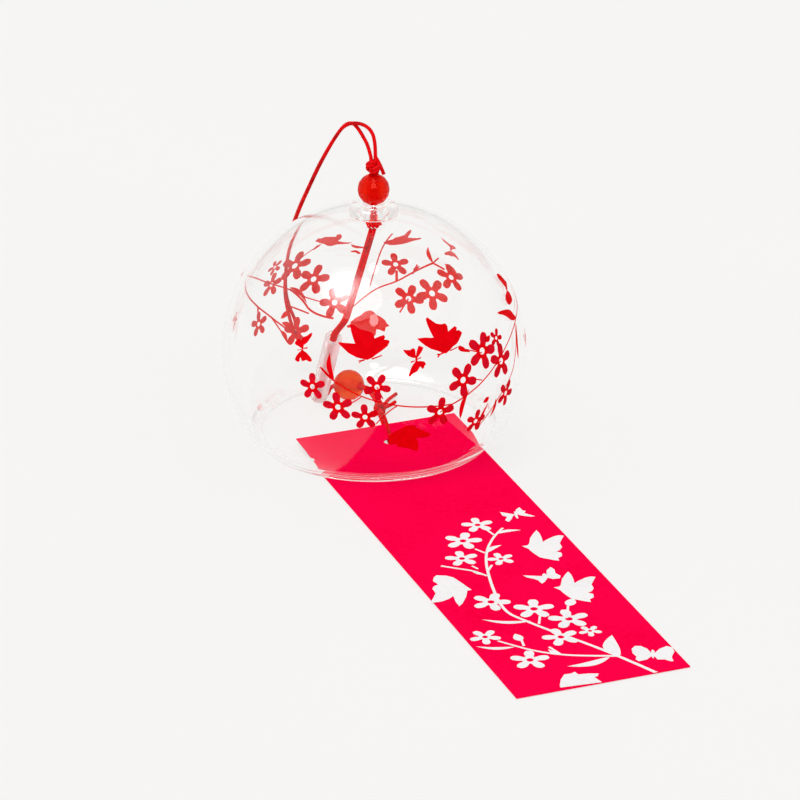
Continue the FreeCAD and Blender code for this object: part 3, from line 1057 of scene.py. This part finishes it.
# Butterflies and the leaves at the limb, each outline traced through the camera's pixels
FRONT_TRACED = [
    [(337.8, 342.1), (346.2, 342.9), (355.1, 343.6), (353.2, 338.5), (351, 330.8), (350, 323.7),
     (353.8, 325), (359, 328.8), (365.4, 330.5), (370.5, 331.8), (373.7, 334.6), (374.6, 338.5),
     (379.5, 336.3), (384, 335), (385.3, 337.2), (384, 339.5), (388.5, 340), (389.7, 341.7),
     (387.4, 346.2), (382, 350.6), (376.3, 354.5), (371.8, 358), (367.3, 360), (363.5, 359.2),
     (356.4, 357.4), (348.7, 353.2), (343, 348), (339.1, 344.2)],
    [(371.5, 358.4), (381.8, 354.8), (382.2, 355.9), (372.2, 359.8)],
    [(319.8, 367.6), (321.2, 366.8), (327, 372.4), (334.4, 379.8), (333.2, 381.2), (326, 375.2)],
    [(364.5, 359.2), (359.5, 360.2), (357.7, 360.4), (359.6, 361.4), (358.4, 362.8), (359.4, 363.2),
     (361.2, 361.6), (365, 360.6)],
    [(417, 338.5), (425, 337.5), (431, 337.8), (433.5, 337.5), (430, 331), (427, 324), (425.6, 319),
     (427, 317.2), (431, 320), (436, 323.5), (441, 324.2), (445, 323.3), (447.3, 326), (448, 331.5),
     (451, 329), (454.5, 326), (456.8, 327.5), (456.3, 330.5), (459, 330), (462, 332.5), (460.8, 336),
     (459, 340), (457, 343.5), (453, 346.5), (449.5, 350.5), (446, 353.5), (442.5, 353), (438, 351),
     (431, 349), (425, 345.5), (420, 341.5)],
    [(449.5, 350.3), (457, 346.8), (457.2, 347.9), (450.5, 351.2)],
    [(443.5, 352), (440, 353.5), (436.6, 353.8), (436.8, 354.9), (438.2, 355.3), (437, 357.3),
     (438.2, 357.8), (440.2, 355), (444, 353.4)],
    [(403, 349.6), (406, 350), (410, 350), (413, 348), (415.2, 349.5), (415.6, 355), (416.4, 357.8),
     (413, 358), (408, 356), (404.5, 352.5)],
    [(418.3, 346), (420, 346), (423.5, 347.5), (421.5, 352), (417.6, 357.6), (415.6, 357.6), (416.5, 352)],
    [(415.2, 356.8), (417.4, 356.8), (417.2, 361.8), (415.4, 361.8)],
    [(415, 362), (412, 366), (410, 371), (408.5, 376.5), (410, 377), (413, 373.5), (417, 371.5),
     (419, 368.5), (420, 366.5), (422.5, 369), (424.3, 367.6), (424.2, 366), (426, 364.5), (424.5, 361.5),
     (421, 361), (416.5, 361)],
    [(410.6, 361.4), (414.8, 360.4), (415, 361.3), (411, 363)],
    [(417, 359), (421, 356.8), (421.3, 357.8), (417.5, 359.9)],
    [(457.6, 346.5), (460, 345.5), (463.5, 347), (466, 349.6), (470, 351.2), (469.8, 352.2), (464.5, 352),
     (460.5, 351.3), (458.4, 349.5)],
    [(431.5, 434.5), (427, 432), (422, 429.7), (417, 428), (415.5, 425.6), (411, 424.8), (405, 426.2),
     (399.5, 429), (393, 432.3), (389, 435), (388.5, 440), (390, 445), (396, 444), (398, 447),
     (404, 447.4), (409, 448.6), (415, 450.7), (417.6, 451), (418.4, 446), (418, 441), (416, 437.6),
     (422, 437.8), (427, 437)],
    [(295, 342.2), (297, 339.7), (299.3, 338.6), (301.2, 340.2), (302, 341.5), (302.4, 338.6),
     (304, 336.8), (307, 335.8), (309.6, 333.8), (311.8, 332.7), (312.5, 333.6), (311.6, 336.4),
     (309.4, 339.7), (307, 343), (304, 345), (303.3, 348.3), (301.3, 348.2), (299, 346.4), (296.2, 345),
     (295, 343.8)],
    [(301.8, 350), (303, 350), (307, 353), (310.5, 357), (312.2, 360.2), (310.8, 361.8), (309, 361.6),
     (306.5, 360), (304, 360.8), (302.2, 361.2), (301.3, 359.5), (300.6, 357), (299.8, 359), (299.8, 361),
     (298, 362), (295.5, 360.5), (295, 359), (296.5, 355.5), (299, 352.5)],
    [(301.6, 346.5), (303.2, 346.5), (303.2, 351), (301.8, 351)],
    [(303, 347.9), (307.5, 347), (307.8, 348.6), (303.2, 348.9)],
    [(297.2, 349.6), (300, 349.4), (301.8, 349), (301.8, 349.8), (297.6, 350.5)],
    [(496.3, 274), (498.5, 273.8), (501, 276), (504, 279.5), (506.2, 282), (506.8, 285), (507.4, 290.5),
     (506.2, 290.5), (505.2, 287.2), (503.5, 285), (501.2, 282), (498.5, 279), (496.8, 275.5)],
    [(506.6, 290.3), (509, 292), (511, 296), (512.2, 300), (511.2, 303), (509.5, 305), (507.5, 304),
     (505.5, 300), (505.2, 296.5), (506, 293)],
    [(496.8, 312.8), (500, 311), (505, 309.5), (509, 309.5), (511.5, 311.5), (513.5, 314.5),
     (515.6, 316.5), (515.3, 319), (513.5, 320.5), (510.5, 320), (507, 317), (503, 315), (499, 314.2)],
    [(515.8, 322), (516.9, 333), (517.6, 343), (518.2, 352), (518.2, 359), (517, 353), (516.2, 345),
     (516, 334)],
]
# The far half of the globe, in the same order
BACK_TRACED = [
    [(313.5, 238.5), (317, 235.5), (320, 235.7), (324, 234.2), (328, 234.2), (335, 234.2), (336, 232),
     (340, 231.3), (341.3, 234), (340, 236.5), (337, 238.5), (342, 239.8), (347, 240.3), (352, 240.2),
     (348, 241.6), (342, 242), (336, 242.3), (330, 244), (326.5, 243.6), (323.5, 241.8), (319, 240.8)],
    [(383.5, 240.5), (387, 238.5), (393, 237), (396, 235), (400, 234), (405, 232.5), (408, 229),
     (410.5, 227), (412, 227), (412.3, 229), (410, 232.5), (408.5, 235), (414, 235.5), (422.5, 235),
     (422, 236.5), (414, 238.5), (409, 240.3), (403, 242), (397, 242.8), (391, 243.2), (386, 242)],
    [(350.5, 242), (355, 243.4), (361, 244.5), (364, 245), (363.5, 246.4), (356, 246.5), (351.5, 244.8)],
    [(350, 249.3), (355, 248.3), (358, 249.3), (361, 251.8), (358, 252.5), (355, 250.6), (351, 250.4)],
    [(350, 322), (355, 317.5), (360, 315.3), (365, 311), (370, 309.8), (373.5, 311), (376, 314),
     (381, 316.5), (385, 319.5), (387, 323), (389.8, 325.5), (386, 327), (385, 331), (383, 331),
     (380, 329.5), (376.5, 329), (375.5, 335), (370, 338), (360, 334), (352, 327)],
    [(346, 325.5), (350, 323.8), (350.5, 327.2), (347.5, 327.6)],
    [(442.3, 233.8), (445, 236), (448.5, 238.8), (451, 240.8), (453, 242), (455, 242.5), (458, 245),
     (457.8, 246.3), (455.5, 246.6), (454, 246.5), (453.5, 248.5), (451.8, 247.5), (452, 244.5),
     (449.5, 241.8), (446, 239)],
    [(452, 248.3), (454, 249), (457, 251.3), (459, 254), (461.3, 257.3), (460.3, 257.6), (458, 255.5),
     (456, 254.3), (453, 254), (450, 252.8), (447.5, 253), (445.7, 251.5), (447, 250), (450, 248.8)],
]
BACK_GROWTH = 1.27
BACK_BLOSSOMS = [
    (269, 283, 3.1, 70), (272, 265, 2.2, 20), (293, 264, 4.2, 65), (312.5, 278, 3.9, 66),
    (334, 302, 3.6, 100), (256, 323.5, 2.9, 20), (295, 331.5, 3.4, 15), (396, 263, 3.2, 100),
    (409, 298, 3.6, 70), (433, 292.5, 4.0, 60), (452.6, 276, 3.6, 100),
]
BACK_STEM_GROWTH = 1.5
BACK_STEMS = [
    ([(241, 273), (257, 278), (270, 283), (288, 288), (306, 298), (324, 302)], 0.35, 0.22),
    ([(241, 273), (241, 290), (255, 306), (269, 316), (287, 330)], 0.4, 0.3),
    ([(269, 316), (280, 330), (288, 344)], 0.3, 0.25),
    ([(255, 306), (256, 318)], 0.5, 0.5),
    ([(288, 288), (300, 296), (312, 315), (333, 318)], 0.4, 0.4),
    ([(290, 306), (308, 313)], 0.3, 0.3),
    ([(296, 259), (312, 246), (318, 244)], 0.2, 0.3),
    ([(434, 261.5), (413.5, 271), (397, 281), (377, 287), (361, 299), (353, 306)], 0.4, 0.2),
    ([(393, 231), (384, 241), (376, 264), (370, 285)], 0.3, 0.2),
    ([(434, 261.5), (440, 256)], 0.3, 0.3),
    ([(434, 261.5), (446, 268)], 0.45, 0.45),
    ([(397, 269), (397, 280)], 0.5, 0.5),
    ([(409, 298), (400, 312)], 0.3, 0.3),
    ([(413, 273), (418, 263)], 0.3, 0.3),
]
BACK_LEAVES = [
    (241, 273, 8.5, 47, 0.06), (434, 261.5, 6.0, 102, 0.22), (288, 286, 8.5, -52, 0.14),
    (279, 318, 4.2, 18, 0.4), (280, 322, 5.0, -38, 0.3), (279, 330, 4.4, -60, 0.3),
    (446, 262, 5.6, -36, 0.34), (312, 248, 3.0, 30, 0.3), (414, 272, 3.4, 55, 0.3),
]
LIMB_BUTTERFLIES = ((230, 318), (526, 340))
LIMB_BUTTERFLY_SIZE = 2.8
LIMB_BUTTERFLY_TURN = 90
# The strip, in the same order
STRIP_BLOSSOMS = [
    (477.6, 525, 4.3, 30), (463, 541, 5.0, 8), (462, 558.6, 4.4, 30), (501, 559, 3.6, 40),
    (491, 602, 5.0, 0), (534, 609, 5.3, 20), (569, 619, 5.3, 30), (590, 631, 3.0, 60),
    (561, 637, 4.8, 40), (485, 637, 4.0, 60), (530, 660, 5.0, 20),
]
STRIP_STEMS = [
    (
        [(657, 673), (620, 656.5), (580, 641), (551, 631), (526, 621), (502, 611), (488, 576),
         (485, 553.5), (494, 535), (503, 528)],
        1.0, 0.6,
    ),
    ([(620, 656), (590, 656), (563, 655), (540, 652), (522, 648), (498, 641)], 0.9, 0.6),
    ([(487, 576), (475, 571), (460, 569), (441, 566)], 0.7, 0.7),
    ([(485, 553), (475, 549)], 0.6, 0.6),
    ([(494, 535), (487, 530)], 0.6, 0.6),
    ([(488, 571), (492, 565)], 0.6, 0.6),
    ([(539, 624), (540, 616)], 0.6, 0.6),
    ([(567, 618), (568, 606)], 0.6, 0.6),
    ([(524, 646), (521, 639)], 0.6, 0.6),
    ([(560, 654), (549, 647)], 0.7, 0.7),
    ([(472, 566), (478, 569)], 0.6, 0.6),
]
STRIP_LEAVES = [
    (619, 657, 11.5, 96, 0.34), (495, 534, 7.0, 18, 0.2), (486, 553, 6.0, 48, 0.26),
    (531, 621, 12.0, 176, 0.12), (610, 657, 11.5, 205, 0.2), (515, 647, 9.5, 178, 0.14),
    (563, 655, 4.6, 140, 0.3), (486, 575, 4.5, 145, 0.2),
]
STRIP_BUDS = [(568, 606, 4.4, 70), (521, 641, 4.0, 110)]
# Butterflies on the strip, each outline traced through the camera's pixels
SITTING_WINGS = [
    (522, 546.2), (527.2, 545.5), (529, 544.1), (530.2, 537.9), (533.4, 533.5), (536.4, 530.3),
    (539.6, 533.5), (541.7, 537.9), (542.8, 542), (546.6, 539.7), (553.7, 536.5), (559, 535.3),
    (563.9, 535.8), (561.6, 539.7), (559.8, 543.2), (562.1, 547.2), (559.8, 550.2), (556.3, 551.5),
    (561.6, 552.9), (562.1, 556.1), (558.1, 558.2), (559.3, 560.8), (554.6, 560.3), (548.4, 559.1),
    (543.1, 558.2), (539.6, 557.3), (534.3, 553.8), (530.8, 551.1), (528.6, 549),
]
LEFT_WINGS = [
    (436.5, 575.4), (446.2, 575.8), (453.2, 577.6), (460.3, 582), (466.4, 586.4), (471.7, 589.9),
    (467.3, 590.8), (466.4, 596.1), (462.9, 603.1), (459.4, 606.3), (455.8, 602.2), (453.2, 596.1),
    (449.7, 598.7), (442.6, 601.4), (433.8, 602.8), (430.3, 603.1), (432.9, 598.7), (435.6, 593.4),
    (432.4, 589), (433.8, 586.4), (438.2, 584.6), (432.9, 581.1), (433.8, 577.6),
]
CUT_WINGS = [
    (559.8, 686), (560.7, 679.8), (564.3, 674.5), (571.3, 673.6), (574.8, 671.9), (578.4, 674.5),
    (588.9, 673.6), (598.6, 673.6), (597.7, 676.3), (594.2, 677.2), (602.2, 682.4), (560.7, 687.7),
]
TOP_LEFT_WING = [
    (499.9, 512), (502.6, 515.9), (507, 516.7), (505.2, 520.3), (508.7, 522), (511.4, 519.4),
    (513.1, 515.9), (515.3, 514.5),
]
TOP_RIGHT_WING = [
    (515.8, 513.2), (515.8, 509.7), (519.3, 507.4), (522.8, 510.6), (525.5, 510.9), (524.6, 513.2),
    (535.2, 516.2), (530.8, 516.7), (523.7, 515.9), (519.3, 515),
]
MIDDLE_LEFT_WING = [
    (522.8, 575.4), (527.2, 577.6), (534.3, 579), (537.8, 580.2), (542.2, 583.7), (545.7, 581.1),
    (544.9, 577.6), (542.2, 576.2),
]
MIDDLE_RIGHT_WING = [
    (546.6, 574.9), (546.6, 570.5), (550.5, 567), (554.6, 569.6), (555.4, 573.2), (560.7, 575.8),
    (559.8, 578.4), (552.8, 579), (547.5, 577.6),
]
OPEN_LEFT_WING = [
    (651.5, 653.4), (647.5, 649), (640.9, 646), (634.8, 646), (631.6, 649), (632.7, 653.4), (636.5, 656.5),
    (635.6, 659.5), (639.2, 661.3), (647.1, 659.5), (651.5, 656),
]
OPEN_RIGHT_WING = [
    (654.2, 653.4), (659.4, 649), (666.5, 646), (672.7, 647.2), (674.4, 651.6), (671.8, 656.9),
    (673.5, 661.3), (670.9, 661.3), (664.7, 659.5), (657.7, 659.5), (654.2, 656),
]
TOP_BODY = [(514, 511.8), (515.8, 511.2), (517.3, 514.2), (518.4, 518.6), (516.4, 518.2), (514.6, 515.2)]
MIDDLE_BODY = [(542, 575), (543.9, 573.2), (546.3, 574.2), (547.6, 578), (545.8, 580.6), (543.2, 578.6)]
OPEN_BODY = [(651.2, 650.6), (652.6, 649.6), (654.4, 650.8), (655, 655.6), (653.2, 658.6), (651.4, 656.4)]
SECOND_SITTING_SHIFT = (31.7, 41.2)
STRIP_TRACED = [
    SITTING_WINGS, LEFT_WINGS, CUT_WINGS, TOP_LEFT_WING, TOP_RIGHT_WING, MIDDLE_LEFT_WING, MIDDLE_RIGHT_WING,
    OPEN_LEFT_WING, OPEN_RIGHT_WING, TOP_BODY, MIDDLE_BODY, OPEN_BODY,
]


def print_plants(layer, surface, blossoms, stems, leaves, buds=(), growth=1.0, stem_growth=1.0):
    for px, py, size, angle in blossoms:
        stamp(layer, surface, px, py, blossom(size * growth, angle))
    for pixels, first, last in stems:
        stem(layer, surface, pixels, first * stem_growth, last * stem_growth)
    for px, py, length, angle, width in leaves:
        stamp(layer, surface, px, py, single_leaf(length, angle, width))
    for px, py, length, angle in buds:
        stamp(layer, surface, px, py, bud(length, angle))


print_plants(glass_print, "front", FRONT_BLOSSOMS, FRONT_STEMS, FRONT_LEAVES, FRONT_BUDS, FRONT_GROWTH)
for outline in FRONT_TRACED:
    trace_on_globe(outline, True)
for outline in BACK_TRACED:
    trace_on_globe(outline, False)
print_plants(glass_print, "back", BACK_BLOSSOMS, BACK_STEMS, BACK_LEAVES, (), BACK_GROWTH, BACK_STEM_GROWTH)
for px, py in LIMB_BUTTERFLIES:
    stamp(glass_print, "back", px, py, small_butterfly(LIMB_BUTTERFLY_SIZE, LIMB_BUTTERFLY_TURN))
inks = [FRONT_INK, PETAL_INK, BACK_INK]
globe_print = mesh_object("globe_print", glass_print.verts, glass_print.faces, inks, glass_print.slots)
rider(globe_print, "bell", "bell_glass")

print_plants(strip_print, "strip", STRIP_BLOSSOMS, STRIP_STEMS, STRIP_LEAVES, STRIP_BUDS)
for outline in STRIP_TRACED:
    trace_on_strip(outline)
trace_on_strip(SITTING_WINGS, SECOND_SITTING_SHIFT)
paper_print = mesh_object("strip_print", strip_print.verts, strip_print.faces, [PAPER_WHITE])
rider(paper_print, "strip", "paper")


# Table, room and lights, in metres
ROOM_COLOUR = (0.925, 0.915, 0.895)
FLOOR_HALF = 6.0
FLOOR_HEIGHT = -0.0002
FLOOR_CORNERS = ((-1, -1), (1, -1), (1, 1), (-1, 1))
FLOOR_GRAIN = (6.0, 3.0)
FLOOR_SHADES = ((0.90, 0.895, 0.885), (0.92, 0.915, 0.905))
FLOOR_SPAN = (0.3, 0.7)
FLOOR_ROUGHNESS = 0.8
FLOOR_SHINE = 0.0
# Share of the floor that glows by itself where it is seen, so that the picture's edges stay as bright
GLOW_SHARE = 0.7
DAYLIGHT = (0.97, 0.98, 1.0)
DAYLIGHT_STRENGTH = 0.6
MIRRORED_SHADES = ((0.70, 0.69, 0.67), (0.93, 0.92, 0.90))
MIRRORED_SPAN = (0.0, 0.4)
ELLIPSE_SHARE = math.pi / 4


def seen_directly(nodes, links, rays, *more):
    """One where a ray came through clear glass or mirrors only, with no matte bounce before."""
    seen = rays.outputs["Is Glossy Ray"]
    for name in ("Is Transmission Ray", *more):
        seen = math_node(nodes, links, "MAXIMUM", seen, rays.outputs[name])
    matte_free = math_node(nodes, links, "LESS_THAN", rays.outputs["Diffuse Depth"], ANY_MATTE_BOUNCE)
    return math_node(nodes, links, "MULTIPLY", seen, matte_free)


def make_floor():
    made, nodes, links, output = material("table")
    shader = nodes.new("ShaderNodeBsdfPrincipled")
    grain = noise(nodes, links, *FLOOR_GRAIN)
    links.new(ramp(nodes, links, grain, *FLOOR_SHADES, FLOOR_SPAN), shader.inputs["Base Color"])
    shader.inputs["Roughness"].default_value = FLOOR_ROUGHNESS
    shader.inputs["Specular IOR Level"].default_value = FLOOR_SHINE
    glow = coloured(nodes, "ShaderNodeEmission", ROOM_COLOUR)
    rays = nodes.new("ShaderNodeLightPath")
    direct = seen_directly(nodes, links, rays, "Is Camera Ray")
    share = math_node(nodes, links, "MULTIPLY", direct, GLOW_SHARE)
    links.new(blend_shaders(nodes, links, share, shader.outputs["BSDF"], glow), output.inputs["Surface"])
    verts = [(x * FLOOR_HALF, y * FLOOR_HALF, FLOOR_HEIGHT) for x, y in FLOOR_CORNERS]
    floor = mesh_object("table", verts, [tuple(range(len(verts)))], [made])


def make_world():
    """Pale room: even for the matte surfaces, darker towards the horizon in reflections."""
    world = bpy.data.worlds.new("studio")
    bpy.context.scene.world = world
    world.use_nodes = True
    nodes = world.node_tree.nodes
    links = world.node_tree.links
    nodes.clear()
    output = nodes.new("ShaderNodeOutputWorld")
    lit = nodes.new("ShaderNodeBackground")
    lit.inputs["Color"].default_value = (*DAYLIGHT, 1)
    lit.inputs["Strength"].default_value = DAYLIGHT_STRENGTH
    mirrored = nodes.new("ShaderNodeBackground")
    height = height_in_object(nodes, links, "Generated")
    links.new(ramp(nodes, links, height, *MIRRORED_SHADES, MIRRORED_SPAN), mirrored.inputs["Color"])
    plain = coloured(nodes, "ShaderNodeBackground", ROOM_COLOUR)
    rays = nodes.new("ShaderNodeLightPath")
    direct = seen_directly(nodes, links, rays)
    dim = blend_shaders(nodes, links, direct, lit.outputs["Background"], mirrored.outputs["Background"])
    shown = blend_shaders(nodes, links, rays.outputs["Is Camera Ray"], dim, plain)
    links.new(shown, output.inputs["Surface"])


def aimed(name, data, place, target):
    light = bpy.data.objects.new(name, data)
    bpy.context.scene.collection.objects.link(light)
    light.location = place
    light.rotation_euler = (target - place).to_track_quat("-Z", "Y").to_euler()
    return light


def make_box(name, place, target, width, height, radiance):
    """Softbox that only shows as a reflection in the glass."""
    data = bpy.data.lights.new(name, "AREA")
    data.shape = "ELLIPSE"
    data.size = width
    data.size_y = height
    data.energy = radiance * math.pi * width * height * ELLIPSE_SHARE
    light = aimed(name, data, place, target)
    light.visible_diffuse = False


def make_sun(place, target, strength, spread):
    """Even light from a wide source, the same on every part of the table."""
    data = bpy.data.lights.new("ceiling", "SUN")
    data.energy = strength
    data.angle = spread
    light = aimed("ceiling", data, place, target)
    light.visible_glossy = False


# A soft round lamp that the globe mirrors at one pixel, built of nested discs: their width and radiance
GLARE_PIXEL = (342, 289)
GLARE_DISCS = ((0.09, 50.0), (0.14, 27.0), (0.20, 15.0), (0.28, 8.0), (0.38, 4.5), (0.50, 2.5), (0.66, 1.2))
GLARE_DISTANCE = 0.9
GLARE_SPACING = 0.004
# Two lamps that the facets of the top bead mirror
GLINT_RISES = (44, 87)
GLINT_DISTANCE = 1.0
GLINT_SIZE = (0.12, 0.16)
GLINT_RADIANCE = 9.0
BEAD_MIDDLE = at(0, 0, 70)
# Main light, to the left of the camera
SUN_TURN = math.radians(-25)
SUN_RISE = math.radians(62)
SUN_STRENGTH = 1.5
SUN_SPREAD = math.radians(35)
BELL_MIDDLE = at(0, 0, 30)


def make_glare():
    spot = on_globe(*GLARE_PIXEL)
    way = ray(*GLARE_PIXEL).reflect((spot - GLOBE).normalized())
    for step, (width, radiance) in enumerate(GLARE_DISCS):
        place = spot + way * (GLARE_DISTANCE + GLARE_SPACING * step)
        make_box("overhead_box", place, spot, width, width, radiance)


def make_glints():
    for rise in GLINT_RISES:
        place = BEAD_MIDDLE + direction(AZIMUTH, math.radians(rise)) * GLINT_DISTANCE
        make_box("bead_glint", place, BEAD_MIDDLE, *GLINT_SIZE, GLINT_RADIANCE)


make_floor()
make_world()
make_glare()
make_glints()
make_sun(BELL_MIDDLE + direction(AZIMUTH + SUN_TURN, SUN_RISE), BELL_MIDDLE, SUN_STRENGTH, SUN_SPREAD)

scene = bpy.context.scene
scene.view_settings.view_transform = "Standard"
